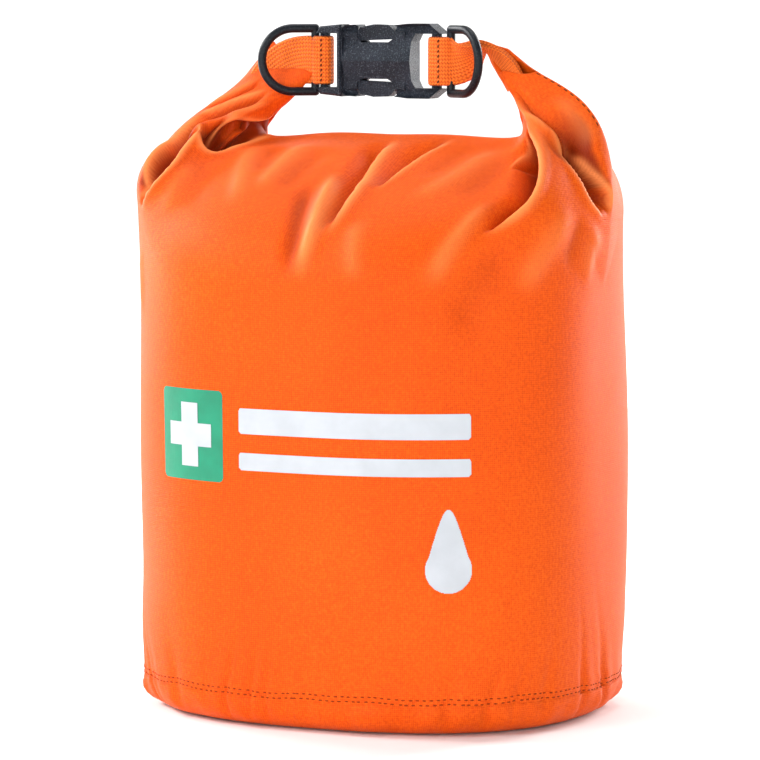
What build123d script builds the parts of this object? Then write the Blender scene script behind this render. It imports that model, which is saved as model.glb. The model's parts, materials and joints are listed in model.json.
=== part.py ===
"""Roll-top first aid kit: a packed dry bag, its side-release buckle handle and the kit inside.

Millimetres, +Z up. The origin is the centre of the flat base; the printed front faces -Y.
"""

import os
from math import cos, pi, radians, sin

from build123d import *

# Driving dimensions
BODY_A, BODY_B = 74.5, 63.0     # half width and half depth of the packed body
BODY_E = 2.4                    # superellipse exponent of the body's outline
WALL = 1.2                      # coated fabric with its inner tape, as one closed wall
SEAM_Z = 8.8                    # base seam above the ground
FOLD_Z = 177.0                  # top fold of the rolled mouth
ROLL_HALF, ROLL_H, ROLL_T = 43.5, 18.0, 8.0   # rolled mouth: half length, height, thickness
GAP = 0.3                       # gap between soft pieces of different bodies
HANDLE_Y, HANDLE_Z = 4.0, 200.0               # middle of the handle
WEB_W, WEB_T = 15.0, 1.3        # webbing width and one layer's thickness
BUCKLE_X0, BUCKLE_X1 = -23.4, 19.8            # ends of the closed buckle
BUCKLE_W, BUCKLE_T = 23.0, 8.0  # buckle width and thickness
MOUTH_X = -14.5                 # mouth of the socket
CAVITY_X1 = 6.8                 # end of the socket's cavity
CAVITY_W, CAVITY_T = 18.2, 5.0  # socket's cavity
WINDOW_X0, WINDOW_X1 = -10.0, 4.6             # side windows for the latch arms
WAIST = 5.6                     # half width left between the windows
BAR_R = 1.6                     # webbing bars of the buckle
MALE_BAR_X, FEMALE_BAR_X = -21.6, 16.6
RING_R = 1.35                   # D-ring wire
RING_HALF, RING_ARM = 9.8, 7.0  # D-ring: half width and straight arm, on the wire's centre
RING_BAR = (-25.0, 21.4)        # D-ring bars, left and right
RING_REST = (34.0, 36.0)        # how far each ring stands forward at rest, degrees
RUN = 0.08                      # running clearance of the rings in the webbing
PATCH = (-48.1, -23.6, 74.4, 102.0)           # first aid patch: x0, x1, z0, z1
PRINT_T = 0.3                   # print film

os.makedirs("parts", exist_ok=True)


def outline(a, b, e=BODY_E, n=64):
    """Points of a superellipse."""
    pts = []
    for i in range(n):
        c, s = cos(2 * pi * i / n), sin(2 * pi * i / n)
        pts.append((a * abs(c) ** (2 / e) * (1 if c >= 0 else -1),
                    b * abs(s) ** (2 / e) * (1 if s >= 0 else -1)))
    return pts


def sections(levels, grow=0.0):
    """One closed outline per level (z, half width, half depth)."""
    faces = []
    for z, a, b in levels:
        with BuildSketch(Plane.XY.offset(z)) as level:
            with BuildLine():
                Spline(*outline(a + grow, b + grow), periodic=True)
            make_face()
        faces.append(level.sketch)
    return faces


def save(built, name):
    built.part.label = name
    export_step(built.part, f"parts/{name}.step")


def save_box(name, centre, size, r=2.0):
    """A soft packet: a box with rounded upright edges, standing on centre."""
    with BuildPart() as packet:
        with BuildSketch(Plane.XY.offset(centre[2])):
            with Locations((centre[0], centre[1])):
                RectangleRounded(size[0], size[1], r)
        extrude(amount=size[2])
    save(packet, name)


# Bag body ---------------------------------------------------------------

SHELL = [(SEAM_Z, 73.2, 61.6), (16, 74.0, 62.4), (30, BODY_A, BODY_B), (128, BODY_A, BODY_B),
         (138, 74.5, 61.6), (146, 74.5, 58.0), (153, 74.5, 52.0), (159, 74.4, 44.0),
         (164, 74.2, 35.5), (168, 74.0, 27.5), (172, 73.5, 19.0), (175, 72.9, 13.0),
         (FOLD_Z, 72.2, 9.0)]
CAVITY = [(SEAM_Z, 72.0, 60.4), (16, 72.8, 61.2), (30, BODY_A - WALL, BODY_B - WALL),
          (128, BODY_A - WALL, BODY_B - WALL), (138, 73.2, 60.0), (146, 73.0, 56.2),
          (153, 72.6, 50.0)]
SLOT_Z = FOLD_Z - ROLL_H - GAP  # floor of the slot the rolled mouth lies in

with BuildPart() as bag_shell:
    loft(sections(SHELL), ruled=True)
    loft(sections(CAVITY), ruled=True, mode=Mode.SUBTRACT)
    with Locations((0, HANDLE_Y, SLOT_Z)):
        Box(2 * (ROLL_HALF + GAP), ROLL_T + 2 * GAP, 40,
            align=(Align.CENTER, Align.CENTER, Align.MIN), mode=Mode.SUBTRACT)
save(bag_shell, "bag_shell")

BASE = [(0, 66.0, 54.5), (1.6, 70.6, 59.0), (4.5, 72.6, 61.0), (SEAM_Z - 0.1, 73.2, 61.6)]
BASE_INNER = [(1.5, 68.5, 57.0), (4.5, 71.2, 59.6), (SEAM_Z - 0.1, 72.0, 60.4)]
with BuildPart() as base_panel:
    loft(sections(BASE), ruled=True)
    loft(sections(BASE_INNER), ruled=True, mode=Mode.SUBTRACT)
save(base_panel, "base_panel")

with BuildPart() as base_seam_tape:
    loft(sections([(3.2, 69.9, 58.3), (15.5, 71.9, 60.3)]), ruled=True)
    loft(sections([(3.2, 69.3, 57.7), (15.5, 71.3, 59.7)]), ruled=True, mode=Mode.SUBTRACT)
save(base_seam_tape, "base_seam_tape")

with BuildPart() as base_stitching:     # two rows of thread round the base seam
    for z in (9.6, 11.6):
        lift = (z + 0.7 - SEAM_Z) / 9 + 0.05
        row = [(z, 73.2 + lift, 61.6 + lift), (z + 0.7, 73.2 + lift, 61.6 + lift)]
        loft(sections(row, 0.3), ruled=True)
        loft(sections(row), ruled=True, mode=Mode.SUBTRACT)
save(base_stitching, "base_stitching")

with BuildPart() as back_seam_tape:     # waterproof tape up the inside of the back seam
    inside = [(31, BODY_A - WALL, BODY_B - WALL), (127, BODY_A - WALL, BODY_B - WALL)]
    loft(sections(inside, -0.1), ruled=True)
    loft(sections(inside, -0.5), ruled=True, mode=Mode.SUBTRACT)
    with Locations((0, BODY_B, 31)):
        Box(18, 20, 96, align=(Align.CENTER, Align.CENTER, Align.MIN), mode=Mode.INTERSECT)
save(back_seam_tape, "back_seam_tape")

# The mouth is flattened and rolled round its stiffener: a flat spiral of fabric.
TURN = 1.15                     # one layer with the air between layers
with BuildPart() as roll_closure:
    with BuildSketch(Plane.YZ.offset(-ROLL_HALF)):
        with Locations((HANDLE_Y, FOLD_Z - ROLL_H / 2)):
            SlotOverall(ROLL_H, ROLL_T, rotation=90)
            for turn in range(1, 3):
                SlotOverall(ROLL_H - 2 * turn * TURN + 0.25, ROLL_T - 2 * turn * TURN + 0.25,
                            rotation=90, mode=Mode.SUBTRACT)
                SlotOverall(ROLL_H - 2 * turn * TURN, ROLL_T - 2 * turn * TURN, rotation=90)
            SlotOverall(ROLL_H - 4.4 * TURN - 1.2, 1.9, rotation=90, mode=Mode.SUBTRACT)
            for turn in range(1, 3):    # where each layer runs on into the next
                with Locations((0, -(ROLL_H / 2 - turn * TURN))):
                    Rectangle(1.6, 0.8)
    extrude(amount=2 * ROLL_HALF)
save(roll_closure, "roll_closure")

with BuildPart() as mouth_stiffener:
    with Locations((0, HANDLE_Y, FOLD_Z - ROLL_H / 2)):
        Box(2 * ROLL_HALF - 2, 0.9, ROLL_H - 4.4 * TURN - 2.6)
save(mouth_stiffener, "mouth_stiffener")

# Raised ends of the roll: stations (x, z, half width, half thickness, lean), root to tip.
WINGS = {
    "wing_left": (-1, [(60.0, FOLD_Z + GAP, 12.4, 8.5, 0), (51.4, 185.2, 9.6, 6.0, 30),
                       (47.2, 190.2, 8.6, 3.6, 52), (43.7, 195.2, 8.1, 2.2, 72),
                       (40.0, 199.2, 7.9, 1.9, 90)]),
    "wing_right": (1, [(60.3, FOLD_Z + GAP, 13.0, 8.5, 0), (55.3, 185.4, 12.0, 7.0, 27),
                       (49.2, 190.8, 10.0, 5.4, 50), (43.3, 195.8, 8.6, 4.0, 70),
                       (36.6, 199.2, 7.9, 2.6, 90)]),
}
for name, (side, stations) in WINGS.items():
    with BuildPart() as wing:
        for x, z, half, thick, lean in stations:
            t = radians(lean)
            plane = Plane(origin=(side * x, HANDLE_Y, z), x_dir=(side * cos(t), 0, sin(t)),
                          z_dir=(-side * sin(t), 0, cos(t)))
            with BuildSketch(plane):
                RectangleRounded(2 * half, 2 * thick, 0.9 * thick)
        loft()
    save(wing, name)


# Webbing ----------------------------------------------------------------

def strap(name, bar_x, ring_x, root_x):
    """A doubled strap round the buckle's bar and the ring's bar, then flat into the wing."""
    side = 1 if root_x > bar_x else -1
    with BuildPart() as webbing:
        with BuildSketch(Plane.XY.offset(HANDLE_Z - WEB_W / 2)):
            for x0, r0, x1, r1 in ((bar_x, BAR_R + 0.1 + WEB_T, ring_x, RING_R + RUN + WEB_T),
                                   (ring_x, RING_R + RUN + WEB_T, ring_x + side * 4.6, WEB_T)):
                with BuildSketch(mode=Mode.PRIVATE) as layer:
                    with BuildLine():
                        CenterArc((x0, HANDLE_Y), r0, 0, 360)
                        CenterArc((x1, HANDLE_Y), r1, 0, 360)
                    make_hull()
                add(layer.sketch)
            with Locations(((ring_x + side * 4.6 + root_x) / 2, HANDLE_Y)):
                Rectangle(abs(root_x - ring_x - side * 4.6), 2 * WEB_T)
            with BuildSketch(mode=Mode.PRIVATE) as pocket:
                with BuildLine():
                    CenterArc((bar_x, HANDLE_Y), BAR_R + 0.1, 0, 360)
                    CenterArc((ring_x, HANDLE_Y), RING_R + RUN, 0, 360)
                make_hull()
            add(pocket.sketch, mode=Mode.SUBTRACT)
        extrude(amount=WEB_W)
    save(webbing, name)


strap("strap_left", MALE_BAR_X, RING_BAR[0], -44.0)
strap("strap_right", FEMALE_BAR_X, RING_BAR[1], 41.0)

for name, x in (("bar_tack_left", -33.6), ("bar_tack_right", 28.6)):
    with BuildPart() as bar_tack:       # a cross-stitched bar through both layers
        for sx in (-0.9, 0.9):
            with Locations((x + sx, HANDLE_Y, HANDLE_Z)):
                Box(0.7, 2 * WEB_T + 0.4, 12)
        with Locations((x, HANDLE_Y, HANDLE_Z + 5), (x, HANDLE_Y, HANDLE_Z - 5)):
            Box(2.0, 2 * WEB_T + 0.4, 0.7)
    save(bar_tack, name)

# D-rings ----------------------------------------------------------------

with BuildPart() as d_ring:             # bar on Z, loop towards +X
    for z in (-RING_HALF, RING_HALF):
        with Locations((0, 0, z)):
            Sphere(RING_R)
            Cylinder(RING_R, RING_ARM, rotation=(0, 90, 0),
                     align=(Align.CENTER, Align.CENTER, Align.MIN))
    Cylinder(RING_R, 2 * RING_HALF)
    with BuildSketch(Plane.YZ.offset(RING_ARM)):
        with Locations((0, RING_HALF)):
            Circle(RING_R)
    revolve(axis=Axis((RING_ARM, 0, 0), (0, 1, 0)), revolution_arc=180)

for name, bar_x, turn in (("d_ring_left", RING_BAR[0], 180 + RING_REST[0]),
                          ("d_ring_right", RING_BAR[1], -RING_REST[1])):
    ring = Pos(bar_x, HANDLE_Y, HANDLE_Z) * Rot(0, 0, turn) * d_ring.part
    ring.label = name
    export_step(ring, f"parts/{name}.step")

# Buckle -----------------------------------------------------------------

FRONT = Plane(origin=(0, HANDLE_Y, HANDLE_Z), x_dir=(1, 0, 0), z_dir=(0, -1, 0))
HALF_W = BUCKLE_W / 2

with BuildPart() as buckle_socket:
    with BuildSketch(FRONT):
        with BuildLine():
            Polyline((MOUTH_X, HALF_W - 1.6), (MOUTH_X + 1.6, HALF_W - 0.6), (WINDOW_X0, HALF_W - 0.4),
                     (WINDOW_X1, HALF_W - 0.4), (8.0, HALF_W), (15.4, HALF_W),
                     (BUCKLE_X1, HALF_W - 3.4), (BUCKLE_X1, 3.4 - HALF_W), (15.4, -HALF_W),
                     (8.0, -HALF_W), (WINDOW_X1, 0.4 - HALF_W), (WINDOW_X0, 0.4 - HALF_W),
                     (MOUTH_X + 1.6, 0.6 - HALF_W), (MOUTH_X, 1.6 - HALF_W), close=True)
        make_face()
    extrude(amount=BUCKLE_T / 2, both=True)
    chamfer(buckle_socket.edges().group_by(Axis.Y)[0] + buckle_socket.edges().group_by(Axis.Y)[-1],
            0.6)
    with BuildSketch(Plane.YZ.offset(MOUTH_X)):         # cavity
        with Locations((HANDLE_Y, HANDLE_Z)):
            RectangleRounded(CAVITY_T, CAVITY_W, 0.6)
    extrude(amount=CAVITY_X1 - MOUTH_X, mode=Mode.SUBTRACT)
    for sz in (-1, 1):                                  # side windows
        with BuildSketch(FRONT):
            with BuildLine():
                Polyline((WINDOW_X0, sz * 20), (WINDOW_X0 + 0.6, sz * (WAIST + 1.4)),
                         (WINDOW_X0 + 2.2, sz * WAIST), (WINDOW_X1 - 3.6, sz * WAIST),
                         (WINDOW_X1 - 1.4, sz * (WAIST + 1.4)), (WINDOW_X1, sz * 20), close=True)
            make_face()
        extrude(amount=BUCKLE_T, both=True, mode=Mode.SUBTRACT)
    with BuildSketch(FRONT):                            # webbing opening
        with BuildLine():
            Polyline((9.0, 6.0), (10.2, 8.4), (14.8, 8.4), (14.8, -8.4), (10.2, -8.4),
                     (9.0, -6.0), close=True)
        make_face()
    extrude(amount=BUCKLE_T, both=True, mode=Mode.SUBTRACT)
    with BuildSketch(FRONT):                            # room round the webbing bar
        with Locations((FEMALE_BAR_X + 0.6, 0)):
            Rectangle(8.0, 16.8)
    extrude(amount=BUCKLE_T, both=True, mode=Mode.SUBTRACT)
    with Locations((FEMALE_BAR_X, HANDLE_Y, HANDLE_Z)):
        Cylinder(BAR_R, 18.6)
save(buckle_socket, "buckle_socket")

with BuildPart() as buckle_frame:
    with BuildSketch(FRONT):
        with BuildLine():
            Polyline((BUCKLE_X0, HALF_W - 3.0), (BUCKLE_X0 + 1.4, HALF_W - 1.0),
                     (MOUTH_X - 0.1, HALF_W - 0.3), (MOUTH_X - 0.1, 0.3 - HALF_W),
                     (BUCKLE_X0 + 1.4, 1.0 - HALF_W), (BUCKLE_X0, 3.0 - HALF_W), close=True)
        make_face()
    extrude(amount=3.4, both=True)
    chamfer(buckle_frame.edges().group_by(Axis.Y)[0] + buckle_frame.edges().group_by(Axis.Y)[-1], 0.6)
    with BuildSketch(FRONT):                            # webbing opening
        with Locations(((BUCKLE_X0 - 3 + MOUTH_X - 1.5) / 2, 0)):
            Rectangle(MOUTH_X - 1.5 - BUCKLE_X0 + 3, 16.8)
    extrude(amount=BUCKLE_T, both=True, mode=Mode.SUBTRACT)
    with Locations((MALE_BAR_X, HANDLE_Y, HANDLE_Z)):
        Cylinder(BAR_R, 18.0)
    with BuildSketch(FRONT):                            # root of the plug, inside the mouth
        with Locations(((MOUTH_X - 0.6 - 10.6) / 2, 0)):
            Rectangle(-10.6 - MOUTH_X + 0.6, 10.4)
    extrude(amount=2.3, both=True)
    with BuildSketch(FRONT):                            # guide tongue
        with Locations((-3.4, 0)):
            SlotOverall(17.4, 3.0)
    extrude(amount=1.3, both=True)
save(buckle_frame, "buckle_frame")

for name, sz in (("latch_arm_upper", 1), ("latch_arm_lower", -1)):
    with BuildPart() as latch_arm:
        with BuildSketch(FRONT):
            with BuildLine():
                Polyline((MOUTH_X + 0.1, sz * 5.4), (MOUTH_X + 0.1, sz * 8.6), (-9.6, sz * 8.7),
                         (-8.6, sz * 10.3), (-4.0, sz * 11.2), (1.2, sz * 11.0), (2.9, sz * 9.4),
                         (3.1, sz * 8.8), (5.9, sz * 8.4), (5.9, sz * 6.9), (2.0, sz * 6.6), (-8.0, sz * 6.2),
                         (-10.4, sz * 5.4), close=True)
            make_face()
        extrude(amount=2.1, both=True)
        fillet(latch_arm.edges().filter_by(Axis.Y).group_by(Axis.X)[-1], 0.5)
    save(latch_arm, name)

# Print on the front panel ------------------------------------------------


def film(name, lift, window):
    """Print film on the front, cut to the given shape on the XZ plane."""
    with BuildPart() as layer:
        loft(sections([(40, BODY_A, BODY_B), (110, BODY_A, BODY_B)], lift + PRINT_T), ruled=True)
        loft(sections([(40, BODY_A, BODY_B), (110, BODY_A, BODY_B)], lift), ruled=True, mode=Mode.SUBTRACT)
        extrude(window, amount=100, mode=Mode.INTERSECT)
    save(layer, name)


def rect(x0, x1, z0, z1, r=0.01):
    with Locations(((x0 + x1) / 2, (z0 + z1) / 2)):
        RectangleRounded(x1 - x0, z1 - z0, r)


with BuildSketch(Plane.XZ) as patch:
    rect(*PATCH, 1.8)
with BuildSketch(Plane.XZ) as cross:
    rect(-44.9, -28.1, 84.7, 92.1)
    rect(-40.1, -32.9, 78.6, 98.0)
with BuildSketch(Plane.XZ) as title:
    rect(-18.1, 52.3, 89.6, 97.4, 1.2)
with BuildSketch(Plane.XZ) as subtitle:
    rect(-18.1, 52.3, 79.0, 84.6, 1.2)
with BuildSketch(Plane.XZ) as drop:
    with BuildLine():
        Polyline((38.2, 54.0), (44.8, 67.4), (51.4, 54.0), close=True)
    make_face()
    with Locations((44.8, 52.2)):
        Circle(6.9)

film("aid_patch", 0.05, patch.sketch)
film("aid_cross", 0.4, cross.sketch)
film("title_bar", 0.05, title.sketch)
film("subtitle_bar", 0.05, subtitle.sketch)
film("drop_mark", 0.05, drop.sketch)

# Kit inside ----------------------------------------------------------------

FLOOR = 2.2                     # top of the base panel
TIER = 74.0                     # floor of the upper layer
for name, x, y, z, r, h, core in (("bandage_roll_large", -44, -18, FLOOR, 20, 68, 3.0),
                                  ("bandage_roll_small", -43, 23, FLOOR, 17, 60, 3.0),
                                  ("tape_roll", 46, -24, TIER, 17, 25, 12.6)):
    with BuildPart() as roll:
        with Locations((x, y, z)):
            Cylinder(r, h, align=(Align.CENTER, Align.CENTER, Align.MIN))
            Cylinder(core, h, align=(Align.CENTER, Align.CENTER, Align.MIN), mode=Mode.SUBTRACT)
    save(roll, name)

with BuildPart() as tape_reel:
    with Locations((46, -24, TIER)):
        Cylinder(12.5, 25, align=(Align.CENTER, Align.CENTER, Align.MIN))
        Cylinder(11.0, 25, align=(Align.CENTER, Align.CENTER, Align.MIN), mode=Mode.SUBTRACT)
save(tape_reel, "tape_reel")

for name, centre, size in (
        ("dressing_pack", (2, -34, FLOOR), (48, 26, 68)),
        ("compress_pack", (4, -4, FLOOR), (50, 28, 66)),
        ("triangular_bandage", (4, 30, FLOOR), (50, 32, 62)),
        ("rescue_blanket", (46, 0, FLOOR), (26, 62, 66)),
        ("glove_pack", (-18, -25, TIER), (68, 40, 18)),
        ("wipe_sachets", (-27, 25, TIER), (54, 42, 14)),
        ("plaster_strips", (30, 24, TIER), (52, 32, 22)),
        ("burn_dressing", (0, 0, 99.6), (88, 62, 12)),
        ("leaflet", (0, 0, 138.0), (96, 68, 2.4))):
    save_box(name, centre, size)

# Scissors lie flat over the packs: the blades cross at the rivet and open in the free space.
RIVET_X, RIVET_Z = 6.0, 116.0
for name, z, side in (("scissor_blade_fixed", RIVET_Z, 1), ("scissor_blade_moving", RIVET_Z + 2.1, -1)):
    with BuildPart() as blade:
        with BuildSketch(Plane.XY.offset(z)):
            with BuildLine():
                Polyline((RIVET_X + 46, side * 0.4), (RIVET_X + 44, side * -2.0),
                         (RIVET_X + 4, side * -5.4), (RIVET_X - 5, side * -3.6),
                         (RIVET_X - 26, side * 7.5), (RIVET_X - 24, side * 12.5),
                         (RIVET_X - 1, side * 5.0), (RIVET_X + 5, side * 2.4), close=True)
            make_face()
            with Locations((RIVET_X - 37, side * 13.0)):
                Ellipse(15, 9.5)
                Ellipse(11.5, 6.2, mode=Mode.SUBTRACT)
            with Locations((RIVET_X, 0)):
                Circle(2.05, mode=Mode.SUBTRACT)
        extrude(amount=2.0)
    save(blade, name)

with BuildPart() as scissor_rivet:
    with Locations((RIVET_X, 0, RIVET_Z - 0.9)):
        Cylinder(3.4, 0.8, align=(Align.CENTER, Align.CENTER, Align.MIN))
        Cylinder(2.0, 5.9, align=(Align.CENTER, Align.CENTER, Align.MIN))
    with Locations((RIVET_X, 0, RIVET_Z + 4.2)):
        Cylinder(3.4, 0.8, align=(Align.CENTER, Align.CENTER, Align.MIN))
save(scissor_rivet, "scissor_rivet")

with BuildPart() as tweezers:           # one bent strip, its tips sprung apart
    with BuildSketch(Plane.XY.offset(126.0)):
        with BuildLine():
            Polyline((-44, -0.8), (-44, 0.8), (-8, 4.6), (34, 3.2), (46, 1.6), (46, 0.6),
                     (34, 2.0), (-8, 3.2), (-36, 0), (-8, -3.2), (34, -2.0), (46, -0.6),
                     (46, -1.6), (34, -3.2), (-8, -4.6), close=True)
        make_face()
    extrude(amount=8)
save(tweezers, "tweezers")
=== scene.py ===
"""Looks for the roll-top first aid kit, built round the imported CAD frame. Shapes are in millimetres."""

import json
from math import cos, pi, radians, sin

import bmesh
import bpy
import numpy as np
from mathutils import Matrix, Vector


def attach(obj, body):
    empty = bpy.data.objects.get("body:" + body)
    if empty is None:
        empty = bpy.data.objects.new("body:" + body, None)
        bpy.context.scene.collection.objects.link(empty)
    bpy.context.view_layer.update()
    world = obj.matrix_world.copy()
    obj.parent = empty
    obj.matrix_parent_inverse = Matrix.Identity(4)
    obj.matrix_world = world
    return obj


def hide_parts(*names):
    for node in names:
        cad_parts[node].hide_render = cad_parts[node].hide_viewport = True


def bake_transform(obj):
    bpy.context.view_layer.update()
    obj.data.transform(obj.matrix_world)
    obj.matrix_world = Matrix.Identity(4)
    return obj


MM = 0.001
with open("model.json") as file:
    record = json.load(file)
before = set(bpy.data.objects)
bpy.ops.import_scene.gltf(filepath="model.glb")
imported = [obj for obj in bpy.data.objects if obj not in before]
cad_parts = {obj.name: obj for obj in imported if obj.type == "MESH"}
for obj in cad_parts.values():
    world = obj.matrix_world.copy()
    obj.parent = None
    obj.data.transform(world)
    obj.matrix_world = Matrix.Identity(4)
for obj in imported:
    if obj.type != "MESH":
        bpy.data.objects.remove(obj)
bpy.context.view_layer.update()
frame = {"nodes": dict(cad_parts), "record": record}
NODES = frame["nodes"]

# Sizes shared with the CAD part, in millimetres
BODY_A, BODY_B, BODY_E = 74.6, 63.0, 2.4    # half width, half depth and outline exponent of the body
QUARTER = 111.0                             # a quarter of the girth
HALF, ROUND = 2 * QUARTER, 4 * QUARTER
SEAM_Z, SEAM_IN = 9.0, 1.2                  # the base seam's height, and how far it is drawn in
HANDLE_Y, HANDLE_Z = 4.0, 200.0
WEB_W, WEB_T = 15.0, 1.15                   # webbing width and one layer's thickness


# Small tools --------------------------------------------------------------

def curve(keys, values, at):
    """A natural cubic through the given keys, read at 'at'."""
    x, y = np.asarray(keys, float), np.asarray(values, float)
    n, h = len(x), np.diff(x)
    m = np.zeros((n, n))
    r = np.zeros((n,) + y.shape[1:])
    m[0, 0] = m[-1, -1] = 1
    for i in range(1, n - 1):
        m[i, i - 1:i + 2] = h[i - 1], 2 * (h[i - 1] + h[i]), h[i]
        r[i] = 6 * ((y[i + 1] - y[i]) / h[i] - (y[i] - y[i - 1]) / h[i - 1])
    k = np.linalg.solve(m, r)
    at = np.clip(np.asarray(at, float), x[0], x[-1])
    i = np.clip(np.searchsorted(x, at) - 1, 0, n - 2)
    t0, t1, hi = at - x[i], x[i + 1] - at, h[i]
    if y.ndim > 1:
        t0, t1, hi = t0[..., None], t1[..., None], hi[..., None]
    return ((k[i] * t1 ** 3 + k[i + 1] * t0 ** 3) / (6 * hi) + (y[i] / hi - k[i] * hi / 6) * t1
            + (y[i + 1] / hi - k[i + 1] * hi / 6) * t0)


def smooth(a, b, x):
    """A step from 0 at a to 1 at b, level at both."""
    t = np.clip((np.asarray(x, float) - a) / (b - a), 0, 1)
    return t * t * (3 - 2 * t)


def unit(v):
    return v / np.maximum(np.linalg.norm(v, axis=-1, keepdims=True), 1e-9)


def girth(s, a=BODY_A, b=BODY_B):
    """The body's outline at s millimetres round from the middle of the front, as x, y."""
    t = np.linspace(-pi / 2, 3 * pi / 2, 4001)
    c, n = np.cos(t), np.sin(t)
    x = a * np.sign(c) * np.abs(c) ** (2 / BODY_E)
    y = b * np.sign(n) * np.abs(n) ** (2 / BODY_E)
    run = np.concatenate([[0], np.cumsum(np.hypot(np.diff(x), np.diff(y)))])
    run *= ROUND / run[-1]
    s = np.mod(s, ROUND)
    return np.stack([np.interp(s, run, x), np.interp(s, run, y)], -1)


def wrapped(s):
    """The same place round the bag, as -HALF to HALF."""
    return np.mod(s + HALF, ROUND) - HALF


def placed(name, data):
    """A new object in the scene."""
    ob = bpy.data.objects.new(name, data)
    bpy.context.scene.collection.objects.link(ob)
    return ob


def make_mesh(name, verts, faces, uv=None):
    """A smooth-shaded mesh object from points in millimetres. uv is one pair per vertex."""
    me = bpy.data.meshes.new(name)
    me.from_pydata((np.asarray(verts) * MM).tolist(), [], [list(map(int, f)) for f in faces])
    if uv is not None:
        loops = np.empty(len(me.loops), int)
        me.loops.foreach_get("vertex_index", loops)
        layer = me.uv_layers.new(name="fabric")
        layer.data.foreach_set("uv", np.asarray(uv, float)[loops].ravel())
    me.polygons.foreach_set("use_smooth", [True] * len(me.polygons))
    me.update()
    return placed(name, me)


def grid_faces(rows, cols, wrap=False, start=0):
    """Quads over rows of points, closed round if wrap is set."""
    c2 = cols if wrap else cols - 1
    i, j = np.meshgrid(np.arange(rows - 1), np.arange(c2), indexing="ij")
    a = start + i * cols + j
    b = start + i * cols + (j + 1) % cols
    return np.stack([a, b, b + cols, a + cols], -1).reshape(-1, 4)


# Materials ------------------------------------------------------------------

class Nodes:
    """Short hand for building a node material."""

    def __init__(self, name):
        self.mat = bpy.data.materials.new(name)
        self.mat.use_nodes = True
        self.tree = self.mat.node_tree
        self.tree.nodes.clear()
        self.out = self.add("ShaderNodeOutputMaterial")
        self.bsdf = self.add("ShaderNodeBsdfPrincipled")
        self.link(self.bsdf.outputs[0], self.out.inputs[0])

    def add(self, kind, **props):
        n = self.tree.nodes.new(kind)
        for k, v in props.items():
            if hasattr(n, k):
                setattr(n, k, v)
            else:
                n.inputs[k.replace("_", " ")].default_value = v
        return n

    def link(self, a, b):
        self.tree.links.new(a, b)

    def put(self, sock, v):
        """Sets a socket to a number or a colour, or links it."""
        if isinstance(v, tuple):
            sock.default_value = (*v, 1)
        elif isinstance(v, (int, float)):
            sock.default_value = v
        elif v is not None:
            self.link(v, sock)

    def math(self, op, a, b=None):
        n = self.add("ShaderNodeMath", operation=op)
        self.put(n.inputs[0], a)
        self.put(n.inputs[1], b)
        return n.outputs[0]

    def times(self, a, b):
        return self.math("MULTIPLY", a, b)

    def plus(self, a, b):
        return self.math("ADD", a, b)

    def noise(self, scale, detail):
        n = self.add("ShaderNodeTexNoise", Scale=scale, Detail=detail)
        self.link(self.coords(), n.inputs["Vector"])
        return n.outputs["Fac"]

    def coords(self):
        if not hasattr(self, "_co"):
            self._co = self.add("ShaderNodeTexCoord").outputs["Object"]
        return self._co

    def ramp(self, fac, stops):
        n = self.add("ShaderNodeValToRGB")
        e = n.color_ramp.elements
        for i, (p, c) in enumerate(stops):
            el = e[i] if i < len(e) else e.new(p)
            el.position, el.color = p, (*c, 1)
        self.link(fac, n.inputs[0])
        return n.outputs[0]

    def mix(self, fac, a, b):
        n = self.add("ShaderNodeMix", data_type="RGBA")
        for i, v in ((0, fac), (6, a), (7, b)):
            self.put(n.inputs[i], v)
        return n.outputs[2]

    def bump(self, height, strength, distance, normal=None):
        n = self.add("ShaderNodeBump", Strength=strength, Distance=distance)
        self.link(height, n.inputs["Height"])
        if normal:
            self.link(normal, n.inputs["Normal"])
        return n.outputs[0]

    def finish(self, color=None, rough=None, normal=None, **const):
        for sock, v in (("Base Color", color), ("Roughness", rough), ("Normal", normal)):
            self.put(self.bsdf.inputs[sock], v)
        for k, v in const.items():
            self.bsdf.inputs[k.replace("_", " ")].default_value = v
        return self.mat


def cloth_uv_of(m):
    """The mesh's own cloth coordinates in metres, round and up."""
    sep = m.add("ShaderNodeSeparateXYZ")
    m.link(m.add("ShaderNodeUVMap", uv_map="fabric").outputs[0], sep.inputs[0])
    return sep.outputs[0], sep.outputs[1]


def fabric_material(name, pitch, rough):
    """Coated plain weave, with painted shade down in its folds and a painted highlight on their rims."""
    base, light, dark = (0.73, 0.073, 0.0004), (0.88, 0.142, 0.005), (0.54, 0.036, 0.0002)
    m = Nodes(name)
    waves = [m.math("COSINE", m.times(k, 2 * pi / pitch)) for k in cloth_uv_of(m)]
    h = m.plus(m.times(m.plus(*waves), 0.25), 0.5)
    blotch = m.plus(m.times(m.noise(14, 3), 0.4), m.times(m.noise(1150, 2), 0.6))
    tone = m.ramp(blotch, [(0.34, dark), (0.5, base), (0.68, light)])
    slub = m.noise(1500, 1)
    knot = m.times(m.times(h, m.plus(slub, 0.25)), 0.65)
    col = m.mix(knot, m.mix(0.4, tone, dark), light)
    fold, rim = (m.add("ShaderNodeAttribute", attribute_name=k).outputs["Fac"] for k in ("fold", "rim"))
    # painted shade: the fold attribute darkens the colour down in the folds
    col = m.mix(m.times(fold, 0.85), col, (0.17, 0.010, 0.0002))
    # painted highlight: the rim attribute lightens the colour on the lips of the folds
    col = m.mix(m.times(rim, 0.75), col, (0.95, 0.30, 0.085))
    n1 = m.bump(m.noise(210, 4), 0.12, 0.0006)
    n2 = m.bump(m.plus(h, m.times(slub, 0.7)), 0.45, 0.00014, n1)
    r = m.plus(m.times(slub, 0.12), rough - 0.06)
    return m.finish(col, r, n2, Sheen_Weight=0.08, Sheen_Roughness=0.4,
                    Sheen_Tint=(1.0, 0.58, 0.28, 1.0), Specular_IOR_Level=0.12)


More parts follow.
